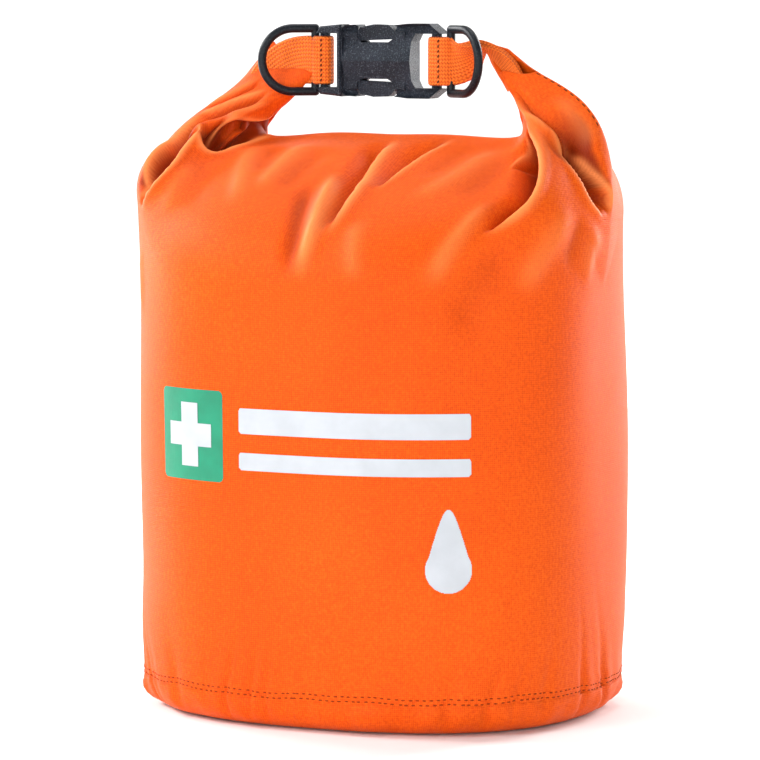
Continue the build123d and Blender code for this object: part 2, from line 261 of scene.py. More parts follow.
RIB = 1.15                                  # pitch of the webbing's ribs across its width


def webbing_material(name, base, light, dark):
    """Ribbed strap: rows of small slanted stitches along its length."""
    m = Nodes(name)
    along, across = cloth_uv_of(m)
    rib = m.times(across, 2 * pi / (RIB * MM))
    lean = m.times(m.math("SINE", rib), 1.3)
    knot = m.plus(m.times(along, 2 * pi / 0.85e-3), lean)
    h = m.plus(m.times(m.math("SINE", knot), 0.35),
               m.times(m.math("COSINE", rib), 0.30))
    h = m.plus(h, 0.5)
    col = m.mix(m.math("MINIMUM", m.math("MAXIMUM", h, 0.0), 1.0), dark, light)
    col = m.mix(m.times(m.noise(60, 3), 0.5), col, base)
    n = m.bump(h, 0.75, 0.00035)
    return m.finish(col, 0.62, n, Sheen_Weight=0.1, Sheen_Roughness=0.5,
                    Sheen_Tint=(1.0, 0.65, 0.4, 1.0), Specular_IOR_Level=0.25)


def plain(name, a, b, scale, rough, bump, size=0.0004, **const):
    """Mottled solid: two close tones, an uneven gloss and a fine surface grain."""
    m = Nodes(name)
    col = m.ramp(m.noise(scale, 4), [(0.35, a), (0.65, b)])
    g = m.noise(900, 3)
    r = m.plus(m.times(g, 0.16), rough - 0.08)
    return m.finish(col, r, m.bump(g, bump, size), **const)


def moulded(name, a, b, rough, bump):
    """Spark-eroded moulded plastic: dense fine grain, with soft pale specks painted in as glints (painted
    highlights).
    """
    m = Nodes(name)
    g = m.noise(2600, 2)
    col = m.ramp(m.plus(m.times(m.noise(90, 3), 0.5), m.times(g, 0.5)),
                 [(0.38, a), (0.66, b)])
    # painted highlights: pale specks painted into the colour as glints
    painted_glint = m.ramp(m.noise(2100, 1), [(0.56, (0, 0, 0)), (0.74, (0.7, 0.7, 0.7))])
    col = m.mix(painted_glint, col, tuple(1.6 * c + 2.2 * b[1] for c in b))
    r = m.plus(m.times(g, 0.22), rough - 0.11)
    return m.finish(col, r, m.bump(g, bump, 0.0005), Specular_IOR_Level=0.22)


def layered(name, a, b, pitch, axis, rough=0.6, **const):
    """Stacked or wound layers: thin lines along one axis."""
    m = Nodes(name)
    sep = m.add("ShaderNodeSeparateXYZ")
    m.link(m.coords(), sep.inputs[0])
    wob = m.times(m.noise(70, 3), 2.5)
    w = m.math("SINE", m.plus(m.times(sep.outputs[axis], 2 * pi / pitch), wob))
    h = m.plus(m.times(w, 0.5), 0.5)
    return m.finish(m.mix(h, a, b), rough, m.bump(h, 0.4, 0.0004), **const)


MAT = {
    "orange_fabric": fabric_material("orange_fabric", 0.62e-3, 0.56),
    "base_fabric": fabric_material("base_fabric", 0.66e-3, 0.55),
    "orange_webbing": webbing_material("orange_webbing", (0.92, 0.145, 0.008), (1.0, 0.23, 0.022),
                                       (0.50, 0.050, 0.002)),
    "seam_tape": plain("seam_tape", (0.74, 0.70, 0.66), (0.84, 0.81, 0.78), 60, 0.28, 0.08),
    "orange_thread": layered("orange_thread", (0.20, 0.022, 0.002), (0.36, 0.05, 0.005), 0.35e-3, 0, 0.7,
                             Specular_IOR_Level=0.1),
    "dark_thread": layered("dark_thread", (0.045, 0.012, 0.006), (0.12, 0.03, 0.012), 0.35e-3, 2, 0.7,
                           Specular_IOR_Level=0.1),
    "stiffener_plastic": plain("stiffener_plastic", (0.66, 0.66, 0.64), (0.75, 0.75, 0.73), 50, 0.5, 0.1),
    "buckle_plastic": moulded("buckle_plastic", (0.0015, 0.0035, 0.008), (0.021, 0.029, 0.044), 0.44, 1.0),
    "ring_plastic": moulded("ring_plastic", (0.0015, 0.003, 0.006), (0.006, 0.009, 0.014), 0.40, 0.18),
    "green_print": plain("green_print", (0.0, 0.205, 0.105), (0.0, 0.25, 0.13), 120, 0.45, 0.12),
    "white_print": plain("white_print", (0.455, 0.485, 0.52), (0.50, 0.53, 0.57), 120, 0.5, 0.12),
    "gauze": layered("gauze", (0.80, 0.77, 0.70), (0.90, 0.88, 0.82), 1.1e-3, 2, 0.85, Sheen_Weight=0.2),
    "paper_wrap": plain("paper_wrap", (0.80, 0.80, 0.77), (0.90, 0.90, 0.88), 90, 0.7, 0.3),
    "blue_wrap": plain("blue_wrap", (0.13, 0.30, 0.50), (0.20, 0.40, 0.62), 90, 0.6, 0.3),
    "gold_foil": plain("gold_foil", (0.72, 0.50, 0.14), (0.85, 0.66, 0.26), 240, 0.22, 0.7, 0.0008,
                       Metallic=0.9),
    "clear_bag": plain("clear_bag", (0.70, 0.76, 0.80), (0.84, 0.88, 0.90), 130, 0.22, 0.4),
    "adhesive_tape": layered("adhesive_tape", (0.70, 0.60, 0.48), (0.82, 0.74, 0.62), 0.6e-3, 2, 0.6),
    "reel_plastic": plain("reel_plastic", (0.78, 0.78, 0.75), (0.86, 0.86, 0.83), 60, 0.4, 0.1),
    "steel": layered("steel", (0.50, 0.51, 0.53), (0.64, 0.65, 0.67), 0.25e-3, 1, 0.3, Metallic=1.0),
}
for row in frame["record"]["subparts"]:
    ob = NODES[row["node"]]
    ob.data.materials.clear()
    ob.data.materials.append(MAT[row["material_slot"]])


def dress(ob, slot, *replaced, body="bag"):
    """Gives a new piece the material named by its slot, hides the nodes it stands in for, and attaches it to
    its body.
    """
    ob.data.materials.append(MAT[slot])
    if replaced:
        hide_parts(*replaced)
    if body:
        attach(ob, body)
    return ob


# The bag's fabric ---------------------------------------------------------------
# s runs round the bag from the middle of the front, q up the cloth from the base seam.
# The flattened mouth: s, then its end x, y, z, the way the cloth arrives there, and its reach.
MOUTH = (
    (-111, (-46.0, 4.4, 198.0), (0.72, 0.0, 0.70), 24), (-100, (-40.5, 2.7, 196.8), (0.76, 0.10, 0.66), 24),
    (-89, (-27.0, 2.8, 196.0), (0.78, 0.20, 0.60), 24), (-80, (-31.2, 2.8, 189.8), (0.76, 0.28, 0.60), 24),
    (-66, (-37.8, 1.8, 184.6), (0.62, 0.45, 0.65), 24), (-54, (-42.4, 0.3, 180.4), (0.35, 0.70, 0.60), 26),
    (-44, (-41.5, -0.2, 176.6), (0.10, 0.88, 0.46), 30), (-22, (-20.5, -0.2, 176.9), (0.0, 0.93, 0.36), 32),
    (0, (2.0, -0.2, 177.0), (0.0, 0.93, 0.36), 32), (22, (24.0, -0.2, 177.2), (0.0, 0.93, 0.36), 32),
    (44, (46.0, -0.2, 177.6), (-0.10, 0.88, 0.46), 30), (54, (46.4, 0.4, 181.2), (-0.35, 0.70, 0.62), 26),
    (66, (44.6, 1.4, 185.8), (-0.55, 0.45, 0.70), 25), (80, (42.2, 2.0, 190.8), (-0.62, 0.30, 0.72), 25),
    (89, (39.2, 2.2, 196.4), (-0.68, 0.20, 0.70), 25), (100, (44.6, 2.6, 196.4), (-0.78, 0.10, 0.62), 25),
    (111, (50.0, 4.4, 197.4), (-0.92, 0.0, 0.38), 25),
)
# The back layer stands above the front one where the webbing comes out: s, then its own end
BACK_TIP = ((-111, (-46.0, 4.4, 198.0)), (-100, (-43.6, 6.0, 201.5)), (-90, (-40.6, 6.2, 205.8)),
            (-84, (-34.0, 6.2, 199.5)), (-78, (-32.0, 6.0, 189.2)), (-70, (-36.0, 6.4, 186.4)),
            (70, (43.9, 6.4, 187.2)), (78, (42.6, 6.0, 190.2)), (84, (36.5, 6.0, 200.0)),
            (90, (33.2, 6.0, 205.8)), (100, (41.2, 6.2, 203.8)), (111, (50.0, 4.4, 197.4)))
# Columns of one sheet, and its rows on the body, above it and past the mouth
N_COL, N_LOW, N_UP, N_EXT = 279, 62, 118, 26
ROLL_R, CURL_R = 6.0, 3.0                       # the roll, and the turned edge hanging behind it


def strings(s, back):
    """One sheet of the bag as strings of points from the base seam to the mouth."""
    keys = [m[0] for m in MOUTH]
    at = HALF - s if back else s
    xy = girth(at)
    low = girth(at, BODY_A - SEAM_IN, BODY_B - SEAM_IN)
    end = curve(keys, [m[1] for m in MOUTH], s)
    way = curve(keys, [m[2] for m in MOUTH], s)
    reach = curve(keys, [m[3] for m in MOUTH], s)
    size = np.abs(s)
    if back:
        way = way * [1, -1, 1]
        end[:, 1] = 2 * HANDLE_Y - end[:, 1]
        mid = 1 - smooth(44, 56, size)              # the back panel ends under the roll
        end[:, 1] -= 1.5 * mid
        end[:, 2] -= 15.0 * mid
        for rows in (BACK_TIP[:6], BACK_TIP[6:]):   # and its own hem stands above the front one
            m = (s >= rows[0][0]) & (s <= rows[-1][0])
            at_s = [r[0] for r in rows]
            own = np.stack([np.interp(s[m], at_s, [r[1][c] for r in rows]) for c in range(3)], -1)
            w = smooth(70, 78, size[m])[:, None]
            end[m] = end[m] * (1 - w) + own * w
    way = unit(way)
    corner = np.exp(-((size - 84) / 26.0) ** 2)      # 1 at the bag's four corners
    full = np.where((s < 0) & (not back), corner, 0)    # the front left corner is packed fullest
    # Height at which the wall turns in, how far it goes on upwards, and how far it swells as it does
    turn = 132 + 20 * corner + 5 * full - 6 * smooth(96, 111, size)
    rise = 26 + 22 * smooth(90, 111, size) - 4 * corner
    bulge = 1.2 + 1.2 * full + np.where(s < 0, 1.0, 4.8) * smooth(90, 111, size)
    a = np.concatenate([xy, turn[:, None]], 1)
    out = np.stack([xy[:, 0] / BODY_A, xy[:, 1] / BODY_B, 0 * s], -1)
    p1 = a + [0, 0, 1] * rise[:, None] + out * bulge[:, None]
    p2 = end - way * reach[:, None] + out * full[:, None]
    t = np.linspace(0, 1, N_UP)[1:, None, None]
    up = (1 - t) ** 3 * a + 3 * (1 - t) ** 2 * t * p1 + 3 * (1 - t) * t ** 2 * p2 + t ** 3 * end
    z = SEAM_Z + np.linspace(0, 1, N_LOW)[:, None] * (turn - SEAM_Z)
    g = smooth(SEAM_Z - 2, 30, z)[..., None]
    down = np.concatenate([low * (1 - g) + xy * g, z[..., None]], -1)
    return np.concatenate([down, up], 0), way


# The grid of points, once round the bag: SG is a point's s, and RUN its q, the cloth's length up to it
S = np.linspace(-QUARTER, QUARTER, N_COL)
front, way_f = strings(S, False)
back, way_b = strings(S, True)
ring = np.concatenate([front, back[:, -2:0:-1]], 1)
RING_S = np.concatenate([S, HALF - S[-2:0:-1]])
RUN = np.concatenate([np.zeros((1, ring.shape[1])),
                      np.cumsum(np.linalg.norm(np.diff(ring, axis=0), axis=2), 0)], 0)
SG = np.broadcast_to(RING_S, RUN.shape)
SPREAD = np.clip(np.linalg.norm(np.roll(ring, -1, 1) - np.roll(ring, 1, 1), axis=2)
                 / (2 * (RING_S[1] - RING_S[0])), 0.12, 1.2)    # real width of a millimetre of s


def frames(g):
    """Unit directions round the bag, up the cloth, and outwards."""
    es = unit(np.roll(g, -1, 1) - np.roll(g, 1, 1))
    eq = unit(np.gradient(g, axis=0))
    return es, eq, unit(np.cross(es, eq))


def near(points):
    """Signed distance from a line on the cloth (positive on its left), how far along it, and the way off."""
    pts = np.asarray(points, float)
    k = np.concatenate([[0], np.cumsum(np.linalg.norm(np.diff(pts, axis=0), axis=1))])
    line = curve(k, pts, np.linspace(0, k[-1], 90))
    tan = unit(np.gradient(line, axis=0))
    mid = line[:, 0].mean()
    sw = wrapped(SG - mid) + mid
    best = np.full(SG.shape, 1e9)
    idx = np.zeros(SG.shape, int)
    for i, p in enumerate(line):
        d = (SPREAD * (sw - p[0])) ** 2 + (RUN - p[1]) ** 2
        m = d < best
        best[m] = d[m]
        idx[m] = i
    dx, dy = sw - line[idx, 0], RUN - line[idx, 1]
    side = tan[idx, 0] * dy - tan[idx, 1] * dx
    return np.sqrt(best) * np.sign(side), idx / (len(line) - 1), np.stack([-tan[idx, 1], tan[idx, 0]], -1)


def ends(t, first, last):
    """Fades a feature in over its first share and out over its last share."""
    return smooth(0, first, t) * (1 - smooth(1 - last, 1, t))


offset = np.zeros_like(ring)
dark, painted_highlight = np.zeros(RUN.shape), np.zeros(RUN.shape)     # how far the cloth sits in a fold or on its rim, kept as painted shade and painted highlight
E_S, E_Q, E_N = frames(ring)


def tuck(points, depth, width, lip, lip_w, push, edge, fade, power=1.0, deep=0.0):
    """A fold: cloth on the line's right stands proud as a lip, and the cloth on its left sinks behind it.

    push carries the lip over the fold, edge is the way over which the cloth sinks, deep is how far the
    painted shade reaches. The sunk cloth gets painted shade, the lip a painted highlight.
    """
    global offset, dark, painted_highlight
    d, t, off = near(points)
    w = ends(t, *fade)
    share = min(depth / 7, 1)
    # painted shade over the cloth that sinks behind the lip
    shade = smooth(-0.2, 1.2, d) * (1 - smooth(max(deep * width, 0.5 * edge), (0.7 + 0.3 * deep) * width, d))
    dark = np.maximum(dark, share * w * shade)
    # painted highlight along the lip
    painted_highlight = np.maximum(painted_highlight, min(0.3 + share, 1) * w * np.exp(-((d + 0.5 * lip_w) / (0.6 * lip_w)) ** 2))
    sink = smooth(-0.4, edge, d) * (1 - smooth(edge, width, d)) ** power
    proud = np.exp(-((d + 0.6 * lip_w) / lip_w) ** 2)
    offset += E_N * (w * (lip * proud - depth * sink))[..., None]
    over = w * push * np.exp(-((d + 0.4) / (0.8 * lip_w)) ** 2)
    offset += (E_S * off[..., :1] + E_Q * off[..., 1:]) * over[..., None]


def crease(points, height, width):
    """A soft ridge (or a valley, if height is negative) along a line, with a painted highlight along a ridge
    and painted shade along a valley.
    """
    global offset, dark, painted_highlight
    d, t, _ = near(points)
    w = ends(t, 0.3, 0.3)
    # painted highlight along a ridge, painted shade along a valley
    painted_light = 0.36 * abs(height) * min(1.0, (2.6 / width) ** 1.3) * w * np.exp(-(d / width) ** 2)
    if height < 0:
        dark = np.maximum(dark, np.clip(painted_light, 0, 0.8))
    else:
        painted_highlight = np.maximum(painted_highlight, np.clip(painted_light, 0, 0.8))
    offset += E_N * (w * height * np.exp(-(d / width) ** 2))[..., None]


def right_folds():
    # the long lip of the wing over the hollow at the end of the roll
    tuck([(55, 143), (64, 146), (71, 150), (75.5, 157), (77.5, 167), (79, 180), (80, 192)],
         13.0, 20, lip=1.9, lip_w=2.0, push=2.8, edge=1.6, fade=(0.25, 0.12), power=1.3, deep=0.35)
    tuck([(68, 192), (62, 189), (55, 184), (50, 178)],
         3.6, 9, lip=0.8, lip_w=1.6, push=1.2, edge=1.4, fade=(0.3, 0.3), deep=0.3)
    # the side gusset, a long drop with a lip on both sides
    tuck([(91, 184), (94, 174), (93, 165), (96, 157), (100, 150), (106, 146)],
         9.0, 12, lip=0.8, lip_w=1.4, push=0.6, edge=1.4, fade=(0.3, 0.08), deep=0.75)
    tuck([(108, 145), (110, 151), (106, 156), (101, 162), (97, 170), (95, 179)],
         5.5, 7, lip=0.6, lip_w=1.4, push=0.4, edge=1.4, fade=(0.12, 0.4), deep=0.9)
    tuck([(80, 203), (84, 193), (89, 184), (94, 175)],
         2.6, 8, lip=0.9, lip_w=1.5, push=1.0, edge=1.2, fade=(0.3, 0.3))


def left_folds():
    # the side gusset, a long crescent with a lip on both sides
    tuck([(-70, 146), (-68, 151), (-67, 158), (-68, 165), (-72, 171), (-78, 177), (-87, 180)],
         9.5, 13, lip=0.9, lip_w=1.8, push=1.2, edge=1.5, fade=(0.12, 0.2), deep=0.8)
    tuck([(-96, 182), (-96, 175), (-92, 170), (-85, 166), (-79, 161), (-75, 155), (-72, 148)],
         6.0, 7, lip=0.5, lip_w=1.4, push=0.4, edge=1.3, fade=(0.2, 0.12), deep=0.9)
    # the small pocket at the end of the roll, and the lip of the wing over it
    tuck([(-90, 180), (-78, 179), (-65, 177.5), (-56, 180), (-49, 188), (-44, 198), (-39, 203)],
         8.0, 13, lip=0.9, lip_w=1.8, push=1.0, edge=1.4, fade=(0.15, 0.1), deep=0.6)
    tuck([(-52, 203), (-66, 201), (-76, 197), (-82, 191), (-79, 186), (-70, 180)],
         4.5, 8, lip=0.8, lip_w=1.6, push=0.8, edge=1.3, fade=(0.25, 0.25), deep=0.6)
    # folds along the wing
    tuck([(-91, 204), (-93, 196), (-95, 189), (-96, 183), (-98, 177)],
         3.4, 6, lip=0.9, lip_w=1.3, push=1.3, edge=1.1, fade=(0.3, 0.25), deep=0.4)
    tuck([(-99, 202), (-100, 194), (-101, 187), (-103, 180)],
         2.4, 4.5, lip=0.8, lip_w=1.2, push=1.0, edge=1.0, fade=(0.3, 0.3), deep=0.3)


def front_folds():
    # two small pleats running down from the roll, and the soft ridges and valleys round them
    tuck([(6, 140), (8, 147), (9, 157), (8.5, 168), (7, 180), (5, 194), (3, 204)],
         4.8, 10, lip=1.7, lip_w=2.2, push=1.2, edge=2.2, fade=(0.3, 0.2))
    tuck([(14, 164), (17, 175), (19, 186), (21, 196), (23, 205)],
         4.2, 10, lip=1.1, lip_w=1.6, push=1.4, edge=1.8, fade=(0.35, 0.25))
    for line, h, w in (
            ([(-4, 176), (0, 164), (2, 152), (3, 140), (2, 126)], 2.6, 2.6),
            ([(-8, 170), (-6, 156), (-3, 142), (-2, 126)], -1.7, 2.6),
            ([(-21, 196), (-22, 184), (-22, 172), (-23, 158)], 1.3, 3.2),
            ([(-14, 192), (-15, 176), (-15, 160)], -1.0, 3.5),
            ([(-40, 196), (-37, 182), (-31, 166), (-25, 150)], 1.2, 3.4),
            ([(-31, 194), (-30, 182), (-27, 170)], -1.0, 3.2),
            ([(38, 198), (36, 184), (33, 170), (28, 156)], 1.3, 4.0),
            ([(29, 200), (27, 186), (25, 172)], -0.8, 3.5), ([(47, 192), (44, 176), (41, 160)], -0.9, 4.5),
            ([(52, 160), (50, 149), (46, 136), (42, 124)], 1.5, 3.4),
            ([(16, 150), (18, 138), (20, 126)], 0.9, 3.0),
            ([(70, 138), (62, 130), (55, 121), (49, 110)], -1.7, 6.5),
            ([(90, 150), (84, 142), (77, 134), (70, 122)], 1.6, 4.0),
            ([(104, 143), (100, 135), (95, 126)], 1.2, 4.0), ([(96, 147), (92, 139), (87, 130)], -0.9, 3.0),
            ([(-58, 172), (-56, 158), (-52, 144)], 0.9, 5.0),
            ([(-48, 176), (-45, 162), (-42, 148)], -0.8, 5.0),
            ([(-88, 204), (-89, 195), (-88, 186)], 0.9, 1.5),
            ([(-72, 136), (-70, 126), (-69, 112)], 0.8, 2.6),
            ([(-84, 204), (-85, 196), (-82, 186)], 1.2, 1.5),
            ([(-72, 200), (-74, 192), (-70, 184)], -1.2, 1.6),
            ([(86, 200), (84, 188), (82, 172), (80, 160)], 0.8, 2.0),
            ([(104, 190), (104, 178), (106, 166)], 0.8, 2.5)):
        crease(line, h, w)


def back_folds():
    # a gusset at each end of the roll, and soft folds between and below them
    tuck([(142, 192), (145, 180), (147, 168), (152, 156), (160, 148)],
         7.5, 20, lip=1.2, lip_w=2.6, push=2.0, edge=2.2, fade=(0.12, 0.3), power=1.2)
    tuck([(292, 148), (298, 157), (301, 168), (300, 180), (302, 192)],
         7.0, 18, lip=1.2, lip_w=2.6, push=2.0, edge=2.2, fade=(0.3, 0.12), power=1.2)
    for line, h, w in (
            ([(214, 180), (212, 160), (204, 138)], 1.3, 6.0),
            ([(226, 180), (228, 160), (236, 136)], -1.1, 6.0),
            ([(178, 126), (184, 96), (188, 62)], -1.1, 9.0), ([(168, 130), (170, 104)], 0.9, 7.0),
            ([(268, 122), (258, 92), (252, 56)], -1.0, 9.0), ([(224, 122), (226, 92), (222, 66)], 0.8, 9.0),
            ([(196, 178), (190, 158), (180, 136)], -1.0, 7.0),
            ([(250, 178), (256, 158), (268, 138)], 1.1, 7.0)):
        crease(line, h, w)


right_folds()
left_folds()
front_folds()
back_folds()
rng = np.random.default_rng(7)
slack = np.zeros(RUN.shape)                     # very soft unevenness of packed cloth
for _ in range(26):
    k = rng.integers(1, 9) * 2 * pi / ROUND
    kq = rng.uniform(-0.07, 0.07)
    slack += rng.normal() / (1 + k * 30) * np.sin(k * SG + kq * RUN + rng.uniform(0, 2 * pi))
slack *= 0.5 / np.abs(slack).std() * smooth(4, 40, RUN)
flat = np.exp(-((SG - 112) / 28) ** 2)          # the right side hangs flatter
slack -= flat * (0.8 * np.maximum(slack, 0) + 0.7 * smooth(25, 70, RUN) * (1 - smooth(105, 135, RUN)))
pucker = np.zeros(RUN.shape)                    # gathers of the base seam, slanting to and fro
slant = 0.35 * RUN * np.sin(2 * pi * 5 * SG / ROUND)
for c in np.cumsum(rng.uniform(4.0, 9.5, 70)) - QUARTER:
    d = wrapped(SG + slant - c)
    pucker += rng.uniform(-1.6, 0.5) * np.exp(-(d / rng.uniform(1.1, 2.6)) ** 2)
pucker_here = pucker * np.exp(-np.maximum(RUN - 3, 0) / 9.0) * (0.6 + 0.6 * smooth(40, 110, np.abs(SG)))
offset += E_N * (slack + pucker_here)[..., None]
hem = 0.4 * (smooth(0.2, 0.8, RUN) - smooth(3.9, 5.0, RUN))      # the doubled cloth at the seam
hem -= 0.35 * np.exp(-((RUN - 2.1) / 0.8) ** 2)                  # drawn in by the stitches
offset += E_N * hem[..., None]
top = np.broadcast_to(RUN[-1], RUN.shape)       # the roll keeps its straight top
mid = 1 - smooth(46, 60, np.abs(wrapped(SG)))
offset *= (1 - 0.9 * mid * smooth(-17, -2, RUN - top))[..., None]
ring = ring + offset
for _ in range(4):                              # ease the sampling steps out of sharp lips
    beside = (np.roll(ring, 1, 1) + np.roll(ring, -1, 1))[N_LOW:-1]
    around = 0.25 * (beside + ring[N_LOW - 1:-2] + ring[N_LOW + 1:])
    ring[N_LOW:-1] += 0.35 * (around - ring[N_LOW:-1])

# Over the mouth: the front panel goes over the roll and down behind it, the ends close as a rim,
# and the two layers end in turned hems where the webbing comes out.
last = ring[-1]
end_f = last[:N_COL]
end_b = np.concatenate([last[:1], last[:N_COL - 1:-1], last[N_COL - 1:N_COL]])
tau = np.linspace(0, 1, N_EXT + 1)[1:, None]
slope = radians(21)                             # the front panel's lean where it reaches the roll
arc, fall, curl = ROLL_R * (slope + pi / 2), 9.0, CURL_R * radians(150)
run = tau * (arc + fall + curl)
alpha = slope - np.clip(run, 0, arc) / ROLL_R
beta = np.clip(run - arc - fall, 0, None) / CURL_R
cy = end_f[:, 1] + ROLL_R * sin(slope)
cz = end_f[:, 2] - ROLL_R * cos(slope)
ry = np.where(run < arc, cy - ROLL_R * np.sin(alpha), cy + ROLL_R - CURL_R + CURL_R * np.cos(beta))
rz = np.where(run < arc, cz + ROLL_R * np.cos(alpha),
              cz - np.clip(run - arc, 0, fall) - CURL_R * np.sin(beta))
roll = np.stack([np.broadcast_to(end_f[:, 0], ry.shape), ry, rz], -1)
f = ((1 - np.cos(pi * tau)) / 2)[..., None]
gap = np.linalg.norm(end_b - end_f, axis=1)[None, :, None]
flat_way = unit(way_f * [1, 0, 1])
rim = end_f * (1 - f) + end_b * f + flat_way * gap * 0.5 * np.sin(pi * tau)[..., None]


def turned(end, way, inward):
    """A hem: the layer turns over its own edge and lies back inside."""
    over, hem_depth = 0.35, 6.0                 # share of the rows in the turn, and how far the hem goes back
    th = np.clip(tau / over, 0, 1)[..., None] * pi
    back_in = np.clip((tau - over) / (1 - over), 0, 1)[..., None] * hem_depth
    back_in = back_in * (1 - smooth(98, 106, np.abs(S)))[None, :, None]
    return end + np.array(inward) * 0.45 * (1 - np.cos(th)) + way * 0.45 * np.sin(th) - way * back_in


wing = smooth(45, 55, np.abs(S))[None, :, None]
open_end = smooth(84, 90, np.abs(S))[None, :, None]
ext_f = roll * (1 - wing) + (rim * (1 - open_end) + turned(end_f, unit(way_f), (0, 1, 0)) * open_end) * wing
ext_b = turned(end_b, unit(way_b), (0, -1, 0))

n_ring = ring.shape[1]
verts = [ring.reshape(-1, 3), ext_f.reshape(-1, 3), ext_b[:, 1:-1].reshape(-1, 3)]
starts = np.cumsum([0] + [len(v) for v in verts])
cloth_uv = [np.stack([SG, RUN], -1).reshape(-1, 2)]
top_run = RUN[-1]
cloth_uv.append(np.stack([np.broadcast_to(S, (N_EXT, N_COL)), top_run[:N_COL] + run], -1).reshape(-1, 2))
run_b = tau * 8.0
cloth_uv.append(np.stack([np.broadcast_to(HALF - S, (N_EXT, N_COL)),
                          np.concatenate([top_run[:1], top_run[:N_COL - 1:-1], top_run[N_COL - 1:N_COL]])
                          + run_b], -1)[:, 1:-1].reshape(-1, 2))
faces = [grid_faces(ring.shape[0], n_ring, wrap=True)]
base_row = (ring.shape[0] - 1) * n_ring
rows_f = np.concatenate([base_row + np.arange(N_COL)[None],
                         starts[1] + np.arange(N_EXT * N_COL).reshape(N_EXT, N_COL)], 0)
inner_b = np.concatenate([base_row + np.arange(n_ring - 1, N_COL - 1, -1)[None],
                          starts[2] + np.arange(N_EXT * (N_COL - 2)).reshape(N_EXT, N_COL - 2)], 0)


def strip(rows, flip=False):
    """Quads between rows given by their vertex numbers."""
    a, b, c, d = rows[:-1, :-1], rows[:-1, 1:], rows[1:, 1:], rows[1:, :-1]
    q = np.stack([a, b, c, d], -1).reshape(-1, 4)
    return q[:, ::-1] if flip else q


faces += [strip(rows_f), strip(inner_b, True)]
verts, faces, cloth_uv = np.concatenate(verts), np.concatenate(faces), np.concatenate(cloth_uv) * MM

# The left end of the mouth bends with the buckle, so it is a piece of its own with matching shading.
col_s = np.concatenate([SG.ravel(), np.broadcast_to(S, (N_EXT, N_COL)).ravel(),
                        np.broadcast_to(HALF - S, (N_EXT, N_COL))[:, 1:-1].ravel()])
signed = np.where(col_s > QUARTER, HALF - col_s, col_s)
row_no = np.concatenate([np.repeat(np.arange(ring.shape[0]), n_ring),
                         np.full(len(verts) - starts[1], ring.shape[0])])
LEFT_END_S = -47
left = (signed[faces].max(1) < LEFT_END_S) & (row_no[faces].min(1) > N_LOW + 4)
folds = []                                      # painted shade and painted highlight, one value for each vertex
for field in (dark, painted_highlight):
    tail = field[-1][:N_COL]
    folds.append(np.concatenate([field.ravel(), np.tile(tail, N_EXT), np.zeros(len(verts) - starts[2])]))
whole = make_mesh("bag_whole", verts, faces, cloth_uv)
normals = np.empty(len(verts) * 3, np.float32)
whole.data.vertex_normals.foreach_get("vector", normals)
normals = normals.reshape(-1, 3)
bpy.data.objects.remove(whole)


def part_of(name, pick):
    """A piece of the whole bag: the picked faces, shaded as they are in the whole."""
    used, inv = np.unique(faces[pick], return_inverse=True)
    ob = make_mesh(name, verts[used], inv.reshape(-1, 4), cloth_uv[used])
    # the painted shade (fold) and painted highlight (rim) go on as attributes
    for key, field in zip(("fold", "rim"), folds):
        values = ob.data.attributes.new(key, "FLOAT", "POINT").data
        values.foreach_set("value", field[used].astype(np.float32))
    ob.data.normals_split_custom_set_from_vertices(normals[used].tolist())
    return ob


dress(part_of("bag_fabric", ~left), "orange_fabric", "bag_shell", "roll_closure", "wing_right")
bag_left = dress(part_of("mouth_left_end", left), "orange_fabric", "wing_left", body=None)
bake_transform(bag_left)

# Base panel, turned up to the seam: its profile as height and growth past the seam's outline
FLOOR_Z = 0.35                                  # the middle of the base stands this clear of the ground
prof = [(SEAM_Z + 0.6, 0.25), (SEAM_Z - 0.6, 0.2), (7.2, 0.0), (5.4, -0.5), (3.7, -1.5), (2.2, -3.0),
        (1.1, -5.0), (0.35, -7.8), (0.0, -11.0), (0.0, -16), (0.15, -22), (0.3, -32), (FLOOR_Z, -44)]
cols = 444
sb = np.linspace(0, ROUND, cols, endpoint=False)
pb = np.interp(np.mod(sb - RING_S[0], ROUND), RING_S - RING_S[0], pucker[0])
wave = sum(rng.uniform(0.15, 0.36) * np.sin(2 * pi * k * sb / ROUND + rng.uniform(0, 2 * pi))
           for k in (9, 14, 19, 23, 31))
rings = []
for z, grow in prof:
    xy = girth(sb, BODY_A - SEAM_IN + grow, BODY_B - SEAM_IN + grow)
    n = unit(np.stack([xy[:, 0] / BODY_A ** 2, xy[:, 1] / BODY_B ** 2], -1))
    xy = xy + n * (pb * 0.85 * smooth(0.3, 5, z) + wave * smooth(0.1, 3.0, z) * smooth(9.4, 6.0, z))[:, None]
    rings.append(np.concatenate([xy, np.full((cols, 1), z)], 1))
rings.append(np.concatenate([girth(sb, 14, 4), np.full((cols, 1), FLOOR_Z)], 1))
rings = np.array(rings)[::-1]
bv = np.concatenate([rings.reshape(-1, 3), [[0, 0, FLOOR_Z]]])
bf = [tuple(f) for f in grid_faces(len(rings), cols, wrap=True)]
bf += [(len(bv) - 1, (j + 1) % cols, j) for j in range(cols)]
lengths = [np.hypot(a[0] - b[0], a[1] - b[1]) for a, b in zip(prof, prof[1:])]
down = np.concatenate([[0], np.cumsum(lengths + [50])])
base_uv = np.stack([np.tile(sb, len(down)), np.repeat(down[::-1], cols)], -1)
base = make_mesh("base_panel_cloth", bv, bf, np.concatenate([base_uv, [[0, 90]]]) * MM)
dress(base, "base_fabric", "base_panel")


# Stitches and prints on the bag's surface -------------------------------------------

